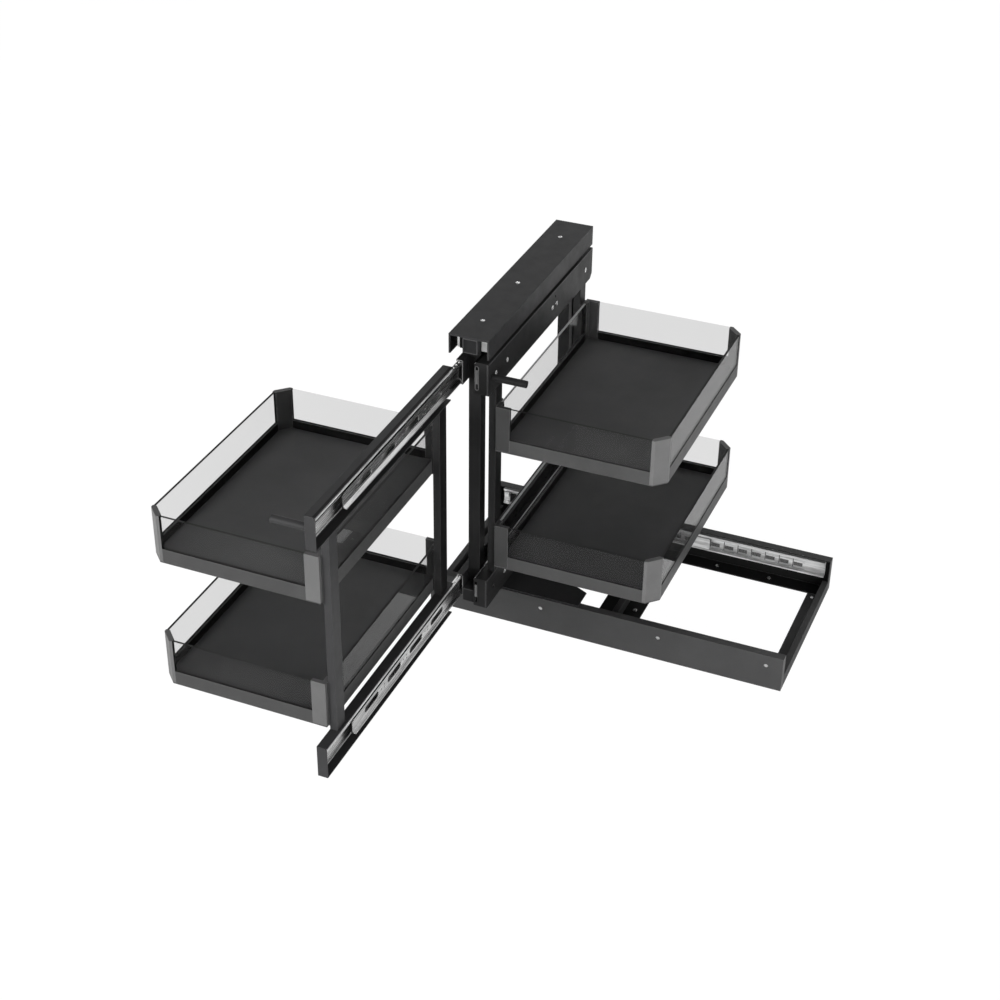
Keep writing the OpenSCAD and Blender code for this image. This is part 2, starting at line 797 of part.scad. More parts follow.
module basket_posts() {
    translate([0, 0, pan_t]) linear_extrude(basket_h - pan_t) post_plans();
}

module basket_glass() {
    far = post_cut + post_flat;
    h = basket_h - glass_drop - rim_h;
    translate([0, 0, rim_h]) {
        for (y = [glass_inset, basket_d - glass_inset - glass_t])
            translate([inner_post_w, y, 0]) cube([basket_w - far - inner_post_w, glass_t, h]);
        translate([glass_inset, inner_post_d, 0])
            cube([glass_t, basket_d - 2 * inner_post_d, h]);
        translate([basket_w - glass_inset - glass_t, far, 0])
            cube([glass_t, basket_d - 2 * far, h]);
    }
}

module in_front_basket(z) {
    translate([front_web_x - hanger_t, front_y + front_set_back, z]) mirror([1, 0, 0]) children();
}
module in_rear_basket(z) {
    translate([rear_web_x + hanger_t, closed_front + rear_set_back, z]) children();
}

module front_top_basket_frame() { color(frame_color) in_front_basket(front_top_z) basket_frame(); }
module front_low_basket_frame() { color(frame_color) in_front_basket(front_low_z) basket_frame(); }
module rear_top_basket_frame() { color(frame_color) in_rear_basket(rear_top_z) basket_frame(); }
module rear_low_basket_frame() { color(frame_color) in_rear_basket(rear_low_z) basket_frame(); }

module front_top_basket_board() { color(board_color) in_front_basket(front_top_z) basket_board(); }
module front_low_basket_board() { color(board_color) in_front_basket(front_low_z) basket_board(); }
module rear_top_basket_board() { color(board_color) in_rear_basket(rear_top_z) basket_board(); }
module rear_low_basket_board() { color(board_color) in_rear_basket(rear_low_z) basket_board(); }

module front_top_basket_posts() { color(post_color) in_front_basket(front_top_z) basket_posts(); }
module front_low_basket_posts() { color(post_color) in_front_basket(front_low_z) basket_posts(); }
module rear_top_basket_posts() { color(post_color) in_rear_basket(rear_top_z) basket_posts(); }
module rear_low_basket_posts() { color(post_color) in_rear_basket(rear_low_z) basket_posts(); }

module front_top_basket_glass() { color("#c8d0d4", 0.35) in_front_basket(front_top_z) basket_glass(); }
module front_low_basket_glass() { color("#c8d0d4", 0.35) in_front_basket(front_low_z) basket_glass(); }
module rear_top_basket_glass() { color("#c8d0d4", 0.35) in_rear_basket(rear_top_z) basket_glass(); }
module rear_low_basket_glass() { color("#c8d0d4", 0.35) in_rear_basket(rear_low_z) basket_glass(); }

base_front_rail();
base_back_rail();
base_left_rail();
base_right_rail();
base_cross_member();
front_side_slide_rail();
back_side_slide_rail();
front_side_ball_cage();
back_side_ball_cage();
front_side_slide_runner();
back_side_slide_runner();
carriage_front_shoe();
carriage_back_shoe();
carriage_bottom_tube();
carriage_top_tube();
carriage_front_post();
carriage_back_post();
carriage_cap();
front_top_slide_inner();
front_low_slide_inner();
rear_top_slide_inner();
rear_low_slide_inner();
front_top_slide_middle();
front_low_slide_middle();
rear_top_slide_middle();
rear_low_slide_middle();
front_top_ball_cage();
front_low_ball_cage();
rear_top_ball_cage();
rear_low_ball_cage();
front_top_slide_outer();
front_low_slide_outer();
rear_top_slide_outer();
rear_low_slide_outer();
front_top_channel();
front_low_channel();
rear_top_channel();
rear_low_channel();
front_group_front_upright();
front_group_rear_upright();
rear_group_front_upright();
rear_group_rear_upright();
front_group_rod();
rear_group_rod();
front_top_basket_frame();
front_low_basket_frame();
rear_top_basket_frame();
rear_low_basket_frame();
front_top_basket_board();
front_low_basket_board();
rear_top_basket_board();
rear_low_basket_board();
front_top_basket_posts();
front_low_basket_posts();
rear_top_basket_posts();
rear_low_basket_posts();
front_top_basket_glass();
front_low_basket_glass();
rear_top_basket_glass();
rear_low_basket_glass();
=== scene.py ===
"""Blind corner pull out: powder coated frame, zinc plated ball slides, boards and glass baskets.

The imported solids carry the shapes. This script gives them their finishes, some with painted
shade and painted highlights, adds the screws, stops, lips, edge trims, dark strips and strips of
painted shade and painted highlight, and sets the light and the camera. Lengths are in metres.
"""

import bpy
import numpy as np
from mathutils import Matrix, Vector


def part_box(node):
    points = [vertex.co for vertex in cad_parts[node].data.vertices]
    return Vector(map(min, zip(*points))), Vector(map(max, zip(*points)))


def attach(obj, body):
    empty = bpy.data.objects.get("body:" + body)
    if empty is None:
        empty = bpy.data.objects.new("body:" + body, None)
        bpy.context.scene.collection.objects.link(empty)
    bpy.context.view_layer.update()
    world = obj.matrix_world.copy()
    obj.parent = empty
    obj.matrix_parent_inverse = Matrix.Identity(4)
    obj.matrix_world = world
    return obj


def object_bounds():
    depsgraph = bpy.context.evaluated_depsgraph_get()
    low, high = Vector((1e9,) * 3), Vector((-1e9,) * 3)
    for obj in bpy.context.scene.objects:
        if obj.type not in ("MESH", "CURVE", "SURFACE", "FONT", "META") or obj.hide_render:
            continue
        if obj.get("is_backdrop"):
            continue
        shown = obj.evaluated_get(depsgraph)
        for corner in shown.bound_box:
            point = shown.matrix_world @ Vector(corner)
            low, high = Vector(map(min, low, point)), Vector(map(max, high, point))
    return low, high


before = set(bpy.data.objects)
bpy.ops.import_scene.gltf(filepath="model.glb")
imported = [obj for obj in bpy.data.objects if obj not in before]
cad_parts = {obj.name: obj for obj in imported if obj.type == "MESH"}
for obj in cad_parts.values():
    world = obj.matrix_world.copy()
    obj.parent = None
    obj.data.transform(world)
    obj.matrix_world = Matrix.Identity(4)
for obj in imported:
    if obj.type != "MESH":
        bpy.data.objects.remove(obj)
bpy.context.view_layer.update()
MM = 0.001

# Node trees

EDGE_SAMPLES = 4
UPWARD = 0.5
INWARD = 0.02


class Graph:
    """A node tree under construction, with short calls for its nodes."""

    def __init__(self, tree):
        self.tree = tree
        tree.nodes.clear()

    def put(self, value, socket):
        """Feed a socket with a constant or with another node's output."""
        if hasattr(value, "is_output"):
            self.tree.links.new(value, socket)
        else:
            socket.default_value = value

    def node(self, kind, **inputs):
        """A node of one kind, with its inputs filled by name."""
        made = self.tree.nodes.new("ShaderNode" + kind)
        for key, value in inputs.items():
            self.put(value, made.inputs[key.replace("_", " ")])
        return made

    def math(self, operation, first, second):
        """A product, sum, test or the like of two values."""
        made = self.node("Math")
        made.operation = operation
        self.put(first, made.inputs[0])
        self.put(second, made.inputs[1])
        return made.outputs[0]

    def parts(self, vector):
        """X, Y and Z of a vector."""
        return self.node("SeparateXYZ", Vector=vector).outputs


class Finish(Graph):
    """A material under construction: one shader, with patterns on object coordinates."""

    def __init__(self, name):
        self.material = bpy.data.materials.new(name)
        self.material.use_nodes = True
        super().__init__(self.material.node_tree)
        self.shader = self.node("BsdfPrincipled")
        self.node("OutputMaterial", Surface=self.shader.outputs["BSDF"])
        self.place = self.node("TexCoord").outputs["Object"]

    def set(self, **values):
        """Constants and patterns for the shader's own sockets."""
        for key, value in values.items():
            self.put(value, self.shader.inputs[key.replace("_", " ")])

    def noise(self, scale, detail, rough, vector=None):
        made = self.node("TexNoise", Vector=vector or self.place, Scale=scale, Detail=detail,
                         Roughness=rough)
        return made.outputs["Fac"]

    def streaks(self, along, lengthwise, crosswise, detail):
        """Noise drawn out along one axis, by its scale on that axis and across it."""
        scale = tuple(lengthwise if a else crosswise for a in along)
        mapping = self.node("Mapping", Vector=self.place, Scale=scale)
        return self.noise(1.0, detail, 0.6, mapping.outputs["Vector"])

    def ramp(self, value, *stops):
        """Colour ramp through (position, grey or colour) stops."""
        made = self.node("ValToRGB", Fac=value)
        points = made.color_ramp.elements
        while len(points) < len(stops):
            points.new(0.5)
        for point, (position, tone) in zip(points, stops):
            point.position = position
            rgb = (tone, tone, tone) if np.isscalar(tone) else tone
            point.color = (*rgb, 1.0)
        return made.outputs["Color"]

    def mix(self, amount, first, second, blend="MIX"):
        """Two colours mixed by an amount. A colour mix has its sockets at 0, 6 and 7."""
        made = self.node("Mix")
        made.data_type = "RGBA"
        made.blend_type = blend
        for index, value in ((0, amount), (6, first), (7, second)):
            whole = hasattr(value, "is_output") or np.isscalar(value)
            self.put(value if whole else (*value, 1.0), made.inputs[index])
        return made.outputs[2]

    def outward(self):
        """The surface's normal."""
        return self.node("NewGeometry").outputs["Normal"]

    def edge(self, radius):
        """Mask that is 1 on sharp edges, and the rounded normal that goes with it."""
        bevel = self.node("Bevel", Radius=radius)
        bevel.samples = EDGE_SAMPLES
        rounded = bevel.outputs["Normal"]
        dot = self.node("VectorMath")
        dot.operation = "DOT_PRODUCT"
        self.put(rounded, dot.inputs[0])
        self.put(self.outward(), dot.inputs[1])
        return self.ramp(dot.outputs["Value"], (0.80, 1.0), (0.995, 0.0)), rounded

    def level_mask(self):
        """1 on level faces that look up, 0 on the others."""
        return self.math("GREATER_THAN", self.parts(self.outward())[2], UPWARD)

    def inward_mask(self, centre):
        """1 on upright faces that look towards a centre (x, y), 0 on the others."""
        place, normal = self.parts(self.place), self.parts(self.outward())
        terms = [self.math("MULTIPLY", self.math("SUBTRACT", centre[i], place[i]), normal[i])
                 for i in (0, 1)]
        return self.math("GREATER_THAN", self.math("ADD", *terms), INWARD)

    def bump(self, height, strength, distance, normal=None):
        """Fine relief, over the plain normal or a rounded one."""
        made = self.node("Bump", Height=height, Strength=strength, Distance=distance)
        if normal is not None:
            self.put(normal, made.inputs["Normal"])
        self.set(Normal=made.outputs["Normal"])


def scaled(tone, factor):
    """A colour times a factor."""
    return tuple(factor * c for c in tone)


# Finishes


def powder_coat(name, tone, gloss=0.42, edge_lift=2.1, centre=None, inner=0.12, left=1.0,
                floor=None):
    """Baked powder paint: orange-peel grain, faint cloudiness and a painted highlight on the
    edges.

    gloss is the middle of the roughness, and edge_lift the edges' share of the tone: a painted
    highlight. With a centre, the faces that look towards it carry inner times the tone, and so do
    the
    level faces below the height floor: painted shade where inner is below 1, painted light where
    it is above. left is the share of the tone that faces to the left of the centre keep: painted
    shade on the side away from the light.
    """
    f = Finish(name)
    mask, rounded = f.edge(1.0 * MM)
    clouds = f.ramp(f.noise(14.0, 4.0, 0.6), (0.3, scaled(tone, 0.90)), (0.7, scaled(tone, 1.10)))
    specks = f.ramp(f.noise(2600.0, 2.0, 0.7), (0.35, 0.88), (0.65, 1.12))
    paint = f.mix(0.6, clouds, specks, "MULTIPLY")
    # painted shade on faces towards the centre, on low level faces and on faces left of it;
    # painted light where inner is above 1
    if centre:
        if left != 1.0:
            side = f.math("LESS_THAN", f.parts(f.place)[0], centre[0])
            paint = f.mix(side, paint, (left, left, left), "MULTIPLY")
        dark = f.inward_mask(centre)
        if floor:
            low = f.math("LESS_THAN", f.parts(f.place)[2], floor)
            dark = f.math("MAXIMUM", dark, f.math("MULTIPLY", f.level_mask(), low))
        paint = f.mix(dark, paint, scaled(tone, inner))
    # the lighter edge tone is a painted highlight
    edge_highlight_tone = tuple(min(c, 1.0) for c in scaled(tone, edge_lift))
    f.set(Base_Color=f.mix(mask, paint, edge_highlight_tone), Specular_IOR_Level=0.10,
          Roughness=f.ramp(f.noise(38.0, 5.0, 0.65), (0.3, gloss - 0.05), (0.75, gloss + 0.08)))
    f.bump(f.noise(1500.0, 3.0, 0.6), 0.16, 0.10 * MM, rounded)
    return f.material


def rolled_zinc(name, tone, gloss, along, metallic=1.0):
    """Cold rolled, zinc plated sheet: rolling lines along one axis, small spangles, a thin
    film of oil and a painted highlight on the edges."""
    f = Finish(name)
    mask, rounded = f.edge(0.35 * MM)
    lines = f.streaks(along, 4.0, 900.0, 3.0)
    spangle = f.ramp(f.noise(160.0, 3.0, 0.5), (0.35, 0.86), (0.70, 1.0))
    oil = f.ramp(f.streaks(along, 14.0, 150.0, 4.0), (0.38, 0.45), (0.60, 1.0))
    sheet = f.mix(0.35, f.ramp(lines, (0.30, 0.80 * tone), (0.70, tone)), spangle, "MULTIPLY")
    # the edge mask mixes in light grey: a painted highlight
    f.set(Base_Color=f.mix(mask, f.mix(0.8, sheet, oil, "MULTIPLY"), (0.86, 0.87, 0.88)),
          Roughness=f.ramp(lines, (0.3, gloss - 0.05), (0.7, gloss + 0.08)), Metallic=metallic)
    f.bump(lines, 0.10, 0.05 * MM, rounded)
    return f.material


def laminate(name, tone):
    """Matt laminate board: fine pearl grain with soft, slow changes of tone."""
    f = Finish(name)
    mask, rounded = f.edge(0.5 * MM)
    slow = f.ramp(f.noise(6.0, 3.0, 0.5), (0.3, scaled(tone, 0.93)), (0.7, scaled(tone, 1.07)))
    grain = f.ramp(f.noise(3200.0, 2.0, 0.6), (0.3, 0.97), (0.7, 1.03))
    # edges at 1.5 times the tone: a painted highlight
    f.set(Base_Color=f.mix(mask, f.mix(0.7, slow, grain, "MULTIPLY"), scaled(tone, 1.5)),
          Roughness=f.ramp(f.noise(30.0, 4.0, 0.6), (0.3, 0.50), (0.7, 0.60)),
          Specular_IOR_Level=0.08)
    f.bump(f.noise(2400.0, 2.0, 0.5), 0.03, 0.08 * MM, rounded)
    return f.material


def float_glass(name, low, high, light_left):
    """Clear float glass: smoky tint, a trace of unevenness and dark, ground top edges.

    low and high are the corners of a basket's four panes. The front pane is nearly clear,
    the back pane's edges are polished, and with light_left the left pane's are frosted.
    """
    f = Finish(name)
    pane = 6 * MM
    nowhere = -10.0
    dark_edge, light_edge, clear = (0.03, 0.03, 0.03), (0.75, 0.75, 0.75), (0.96, 0.96, 0.96)
    x, y, _ = f.parts(f.place)
    ground = f.math("MULTIPLY", f.level_mask(), f.math("LESS_THAN", y, high[1] - pane))
    tint = f.ramp(f.noise(3.0, 2.0, 0.4), (0.3, 0.715), (0.7, 0.745))
    body = f.mix(f.math("LESS_THAN", y, low[1] + pane), tint, clear)
    left = f.math("LESS_THAN", x, low[0] + pane if light_left else nowhere)
    f.set(Base_Color=f.mix(ground, body, f.mix(left, dark_edge, light_edge)), IOR=1.14,
          Roughness=f.ramp(ground, (0.0, 0.0), (1.0, 0.45)),
          Transmission_Weight=f.ramp(ground, (0.0, 1.0), (1.0, 0.2)))
    f.bump(f.noise(5.0, 1.0, 0.4), 0.02, 0.5 * MM)
    return f.material


def moulded(name, tone, rough, shine=0.35):
    """Moulded plastic or rubber: faint flow marks over a fine spark grain."""
    f = Finish(name)
    _, rounded = f.edge(0.3 * MM)
    f.set(Base_Color=f.ramp(f.noise(45.0, 4.0, 0.6), (0.3, scaled(tone, 0.85)),
                            (0.7, scaled(tone, 1.2))),
          Roughness=f.ramp(f.noise(90.0, 3.0, 0.5), (0.3, rough - 0.06), (0.7, rough + 0.08)),
          Specular_IOR_Level=shine)
    f.bump(f.noise(2600.0, 2.0, 0.5), 0.10, 0.06 * MM, rounded)
    return f.material


def speckled(name):
    """The balls in a slide's cage windows, seen from afar: light specks of painted glint on a
    dark ground of painted shade.
    """
    f = Finish(name)
    f.set(Base_Color=f.ramp(f.noise(900.0, 2.0, 0.6), (0.44, 0.012), (0.60, 0.22)),
          Roughness=f.ramp(f.noise(90.0, 3.0, 0.5), (0.3, 0.35), (0.7, 0.5)))
    return f.material


def middle_of(node):
    """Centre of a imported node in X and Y."""
    low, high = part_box(node)
    return (low[0] + high[0]) / 2, (low[1] + high[1]) / 2


# a centre far to the right and behind, which gives right and back faces painted shade
AWAY = (10.0, 100.0)
MIDDLE = (0.0, 0.0)
FLANGE_TOP = 5 * MM
ALONG_X, ALONG_Y, ALONG_Z = (1, 0, 0), (0, 1, 0), (0, 0, 1)

# inner faces of the base and of the carriage cap, and the base's low level faces, carry painted
# shade; on the right rail inner=1.25 paints light on them instead
BASE_PAINT = powder_coat("base_powder_coat", (0.063, 0.063, 0.0635), centre=MIDDLE,
                         inner=0.2, floor=FLANGE_TOP)
BASE_END = powder_coat("base_end_coat", (0.063, 0.063, 0.0635), 0.60, centre=MIDDLE,
                       inner=1.25, floor=FLANGE_TOP)
CARRIAGE_PAINT = powder_coat("carriage_powder_coat", (0.032, 0.032, 0.033),
                             centre=middle_of("carriage_cap"))
CARRIAGE_POST = powder_coat("carriage_post_coat", (0.015, 0.015, 0.0152), edge_lift=4.5,
                            centre=AWAY, inner=0.25)
# the rear group's frame paint is the front group's in a darker tone: painted shade
GROUP_PAINT = powder_coat("group_powder_coat", (0.038, 0.038, 0.039))
REAR_PAINT = powder_coat("rear_frame_coat", (0.020, 0.020, 0.0202))
REAR_UPRIGHT = powder_coat("rear_upright_coat", (0.020, 0.020, 0.0202), edge_lift=3.6,
                           centre=AWAY, inner=0.4)
POST_PAINT, RIM_PAINT, GLASS = {}, {}, {}
# front and rear rims and posts are lit and shaded copies of one paint, and the rear posts' left
# faces keep a smaller share of the tone: painted light and painted shade
for group, rim_tone, post_tone, left_shade_share in (("front", 0.054, 0.110, 1.0),
                                               ("rear", 0.080, 0.170, 0.36)):
    basket = group + "_low_basket_"
    middle = middle_of(basket + "frame")
    RIM_PAINT[group] = powder_coat(group + "_rim_powder_coat", (rim_tone,) * 3, centre=middle)
    POST_PAINT[group] = powder_coat(group + "_post_powder_coat", (post_tone,) * 3, 0.38,
                                    1.5, centre=middle, inner=0.28, left=left_shade_share)
    GLASS[group] = float_glass(group + "_basket_glass", *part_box(basket + "glass"),
                               group == "rear")
SLIDE_ZINC = rolled_zinc("slide_zinc", 0.76, 0.25, ALONG_Y)
OUTER_BLACK = powder_coat("outer_black_zinc", (0.020, 0.020, 0.021), 0.30)
SIDE_ZINC = rolled_zinc("side_slide_zinc", 0.88, 0.36, ALONG_X, 0.55)
SCREW_ZINC = rolled_zinc("screw_zinc", 0.80, 0.24, ALONG_Z)
# top and low boards are one laminate in a lit and a shaded copy: the top tone is painted lighter
BOARD = {"top": laminate("top_board_laminate", (0.086, 0.086, 0.0865)),
         "low": laminate("low_board_laminate", (0.062, 0.062, 0.0625))}
# near black, for the runner stops and for the strips that paint shade
STOP_AND_SHADE_BLACK = moulded("stop_and_shade_black", (0.004, 0.004, 0.004), 0.5, 0.08)
STOP = moulded("slide_stop", (0.012, 0.012, 0.0125), 0.4, 0.15)
PLUG_RIM = moulded("tube_plug_rim", (0.050, 0.050, 0.051), 0.5, 0.15)
SADDLE = moulded("cap_saddle_grey", (0.60, 0.60, 0.60), 0.5)
# light grey, for the cut edges of the outer members and for the painted light inside the plate
# slots
CUT_EDGE_AND_SLOT_LIGHT = moulded("slide_clip_grey", (0.17, 0.17, 0.17), 0.5)
# bright zinc, for the runner tabs and for the strips that paint the highlight under the channel
# flanges
HIGHLIGHT_AND_TAB_ZINC = rolled_zinc("highlight_and_tab_zinc", 0.95, 0.40, ALONG_Y, 0.2)
# lighter coat for the painted highlights on the rear channels' bends
BEND_HIGHLIGHT = powder_coat("bend_highlight_coat", (0.052, 0.052, 0.053))
# lighter than the channel plate: a painted highlight round the slot
SLOT_RIM_HIGHLIGHT = powder_coat("slot_rim_highlight_coat", (0.12, 0.12, 0.12))
BALL_SHADE_AND_GLINTS = speckled("ball_shade_and_glints")


def finish_of(node):
    """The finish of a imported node, from its name."""
    group = node.split("_")[0]
    if node.endswith("_glass"):
        return GLASS[group]
    if node.endswith("_board"):
        return BOARD[node.split("_")[1]]
    if node.endswith("_posts"):
        return POST_PAINT[group]
    if "side_" in node:
        return SIDE_ZINC
    if node.endswith("slide_outer"):
        return OUTER_BLACK
    if "slide" in node or "cage" in node:
        return SLIDE_ZINC
    if node.startswith("base_"):
        return BASE_END if node == "base_right_rail" else BASE_PAINT
    if node.startswith("carriage"):
        return CARRIAGE_POST if node.endswith("_post") else CARRIAGE_PAINT
    if node.endswith("_frame"):
        return RIM_PAINT[group]
    if node == "front_group_rear_upright" or group == "rear" and node.endswith("_upright"):
        return REAR_UPRIGHT
    return REAR_PAINT if group == "rear" else GROUP_PAINT


for node_name, node_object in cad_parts.items():
    node_object.data.materials.clear()
    node_object.data.materials.append(finish_of(node_name))

# Meshes

SHARP_ANGLE = np.radians(38)
SQUARE_SIGNS = ((1, 1), (-1, 1), (-1, -1), (1, -1))


def piece(name, form, body, finish, smooth=True):
    """A mesh object of a form (points, faces), riding on a body."""
    points, faces = form
    mesh = bpy.data.meshes.new(name)
    mesh.from_pydata(np.asarray(points, float).reshape(-1, 3).tolist(), [],
                     [tuple(int(i) for i in f) for f in faces])
    mesh.validate()
    mesh.update()
    if smooth:
        mesh.shade_smooth()
        mesh.set_sharp_from_angle(angle=SHARP_ANGLE)
    mesh.materials.append(finish)
    made = bpy.data.objects.new(name, mesh)
    bpy.context.scene.collection.objects.link(made)
    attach(made, body)
    return made


def grid_faces(rows, columns):
    """Quads of a rows by columns grid, closed round its columns."""
    i = np.arange(rows - 1)[:, None]
    j = np.arange(columns)[None, :]
    k = (j + 1) % columns
    return np.stack([i * columns + j, i * columns + k, (i + 1) * columns + k,
                     (i + 1) * columns + j], -1).reshape(-1, 4).tolist()


def ring_face(columns, row=0):
    """One face over a row of the grid."""
    return list(range(row * columns, (row + 1) * columns))


def joined(forms):
    """Several forms as one."""
    points, faces, start = [], [], 0
    for form_points, form_faces in forms:
        points.append(form_points)
        faces += [[i + start for i in face] for face in form_faces]
        start += len(form_points)
    return np.concatenate(points), faces


def copies(form, places, turn=np.eye(3)):
    """One form repeated at several places, turned first."""
    points, faces = form
    points = points @ turn.T
    return joined([(points + np.asarray(place, float), faces) for place in places])


def facing(direction):
    """Rotation that takes +Z to an axis, such as "-X"."""
    axis = "XYZ".index(direction[1])
    out = np.zeros(3)
    out[axis] = -1.0 if direction[0] == "-" else 1.0
    side = np.roll([1.0, 0.0, 0.0], axis + 1)
    return np.column_stack([side, np.cross(out, side), out])


def screw_head(radius, height):
    """Pan head with a cross recess, standing on Z = 0 and pointing to +Z.

    On a polar grid the top is height * sqrt(1 - 0.75 s^2) for s from 0 at the middle to 1 at
    the rim, lowered inside the arms of a cross, where min(|x|, |y|) is small.
    """
    columns = 40
    arm_width, arm_length, recess = 0.17, 0.60, 0.55
    rings = np.concatenate([np.linspace(1, 0.72, 4), np.linspace(0.62, 0.05, 8)])[:, None]
    turn = np.linspace(0, 2 * np.pi, columns, endpoint=False)
    x, y = rings * np.cos(turn), rings * np.sin(turn)
    arm = np.clip((arm_width - np.minimum(abs(x), abs(y))) / 0.05, 0, 1)
    arm = arm * np.clip((arm_length - rings) / 0.06, 0, 1)
    z = np.sqrt(1 - 0.75 * rings ** 2 * np.ones_like(x)) - recess * arm
    top = np.stack([x * radius, y * radius, z * height], -1).reshape(-1, 3)
    foot = np.stack([np.cos(turn) * radius, np.sin(turn) * radius, 0 * turn], -1)
    faces = grid_faces(len(rings) + 1, columns)
    faces += [ring_face(columns)[::-1], ring_face(columns, len(rings))]
    return np.concatenate([foot, top]), faces


def bar(low, high, round_by=0.0):
    """Closed bar between two corners, its four long edges rounded by a quarter circle.

    The long edges run along its longest side. The section is a rounded rectangle: a corner
    centre plus round_by times (cos t, sin t).
    """
    low, high = np.minimum(low, high), np.maximum(low, high)
    size = high - low
    run = int(np.argmax(size))
    across = [a for a in range(3) if a != run]
    half = size[across] / 2
    nearly_half, nearly_sharp = 0.49, 1e-6
    r = min(round_by, nearly_half * half.min()) if round_by else nearly_sharp
    t = np.radians(np.array([5, 45, 85]))
    section = np.concatenate([
        np.stack([sx * (half[0] - r) + r * np.cos(t + quarter * np.pi / 2),
                  sy * (half[1] - r) + r * np.sin(t + quarter * np.pi / 2)], -1)
        for quarter, (sx, sy) in enumerate(SQUARE_SIGNS)])
    n = len(section)
    points = np.zeros((2 * n, 3))
    for end, value in enumerate((low[run], high[run])):
        points[end * n:(end + 1) * n, across] = section + ((low + high) / 2)[across]
        points[end * n:(end + 1) * n, run] = value
    faces = grid_faces(2, n) + [ring_face(n)[::-1], ring_face(n, 1)]
    if run == 1:
        faces = [f[::-1] for f in faces]
    return points, faces


def bars(corner_pairs, round_by=0.0):
    """Several bars as one form."""
    return joined([bar(low, high, round_by) for low, high in corner_pairs])


def corners(node):
    """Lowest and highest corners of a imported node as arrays."""
    low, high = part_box(node)
    return np.array(low), np.array(high)


def along(node, shares):
    """Places along a node in Y at shares of its length."""
    low, high = corners(node)
    return low[1] + np.asarray(shares) * (high[1] - low[1])


# Sizes that several pieces share

HEAD_HEIGHT = 1.9 * MM
SUNK = 0.2 * MM
HAIR = 0.1 * MM
LEVELS = ("top", "low")

# Pieces of the carriage

CAP_SCREW_RADIUS = 3.9 * MM
CAP_SCREW_INSET = 34 * MM
CAP_SCREW_SHARES = (0.13, 0.445, 0.86)
cap_low, cap_high = corners("carriage_cap")
tube_low, tube_high = corners("carriage_top_tube")
piece("cap_screws", copies(screw_head(CAP_SCREW_RADIUS, HEAD_HEIGHT), [
    (cap_low[0] + CAP_SCREW_INSET, y, cap_high[2] - SUNK)
    for y in along("carriage_cap", CAP_SCREW_SHARES)]), "carriage", SCREW_ZINC)

# light saddle in the cap on both sides of the tube, and near-black strips beside and behind it
# that paint the shade inside the cap
SADDLE_WIDTH = 4 * MM
saddle_y = cap_low[1] + 14.0 * MM
saddle_foot = tube_low[2] + 2.0 * MM
left_x, right_x = tube_low[0] - 14.5 * MM, tube_high[0] + 1.5 * MM
piece("cap_saddle", bars([
    ((x0, saddle_y - 1.6 * MM, saddle_foot), (x1, saddle_y, tube_high[2]))
    for x0, x1 in ((left_x, left_x + SADDLE_WIDTH), (right_x, cap_high[0] - 2.5 * MM))],
    0.4 * MM), "carriage", SADDLE)
piece("cap_painted_shade", bars([
    ((x0, saddle_y - 1.2 * MM, foot), (x1, saddle_y + 0.4 * MM, tube_high[2]))
    for x0, x1, foot in ((cap_low[0] + 2.1 * MM, left_x - HAIR, saddle_foot + 8 * MM),
                         (left_x + SADDLE_WIDTH + HAIR, tube_low[0] - HAIR,
                          tube_low[2] + 0.3 * MM))],
    0.3 * MM), "carriage", STOP_AND_SHADE_BLACK)


def round_loop(half, corner, depth, segments=5):
    """Loop of a square with quarter-circle corners, in X and Z, at a depth along Y."""
    t = np.linspace(0, np.pi / 2, segments)
    loop = [np.stack([sx * (half - corner) + corner * np.cos(t + q * np.pi / 2),
                      np.full(segments, depth),
                      sz * (half - corner) + corner * np.sin(t + q * np.pi / 2)], -1)
            for q, (sx, sz) in enumerate(SQUARE_SIGNS)]
    return np.concatenate(loop)


# loops of a tube's end plug, in mm: inset from the tube's side, corner radius, depth
PLUG_RING = ((0, 2.2, 0.0), (0, 2.2, -0.7), (0.5, 1.9, -1.1), (1.3, 1.5, -1.1),
             (1.7, 1.3, -0.5))
PLUG_PANEL = ((1.7, 1.3, -0.5), (4.0, 1.0, -0.25), (8.0, 0.8, -0.2))


def end_plug(half, loops, closed):
    """Part of a tube end plug, facing -Y, lofted through loops of shrinking squares.

    The ring runs from the tube's end to its crown and back down to the panel. The panel is
    a shallow dish, closed by one face.
    """
    points = np.concatenate([round_loop((half - inset) * MM, corner * MM, depth * MM)
                             for inset, corner, depth in loops])
    columns = len(points) // len(loops)
    faces = grid_faces(len(loops), columns)
    if closed:
        faces.append(ring_face(columns, len(loops) - 1))
    return points, faces


def at_tube_ends(form):
    """The form at the front and, turned round, at the back ends of both tubes."""
    turned_round = np.diag([-1.0, -1.0, 1.0])
    placed = []
    for node in ("carriage_bottom_tube", "carriage_top_tube"):
        low, high = corners(node)
        centre = (low + high) / 2
        placed += [copies(form, [(centre[0], low[1], centre[2])]),
                   copies(form, [(centre[0], high[1], centre[2])], turned_round)]
    return joined(placed)


tube_half = (tube_high[0] - tube_low[0]) / 2 / MM - 0.3
piece("tube_end_rings", at_tube_ends(end_plug(tube_half, PLUG_RING, False)), "carriage",
      PLUG_RIM)
piece("tube_end_panels", at_tube_ends(end_plug(tube_half, PLUG_PANEL, True)), "carriage",
      STOP)

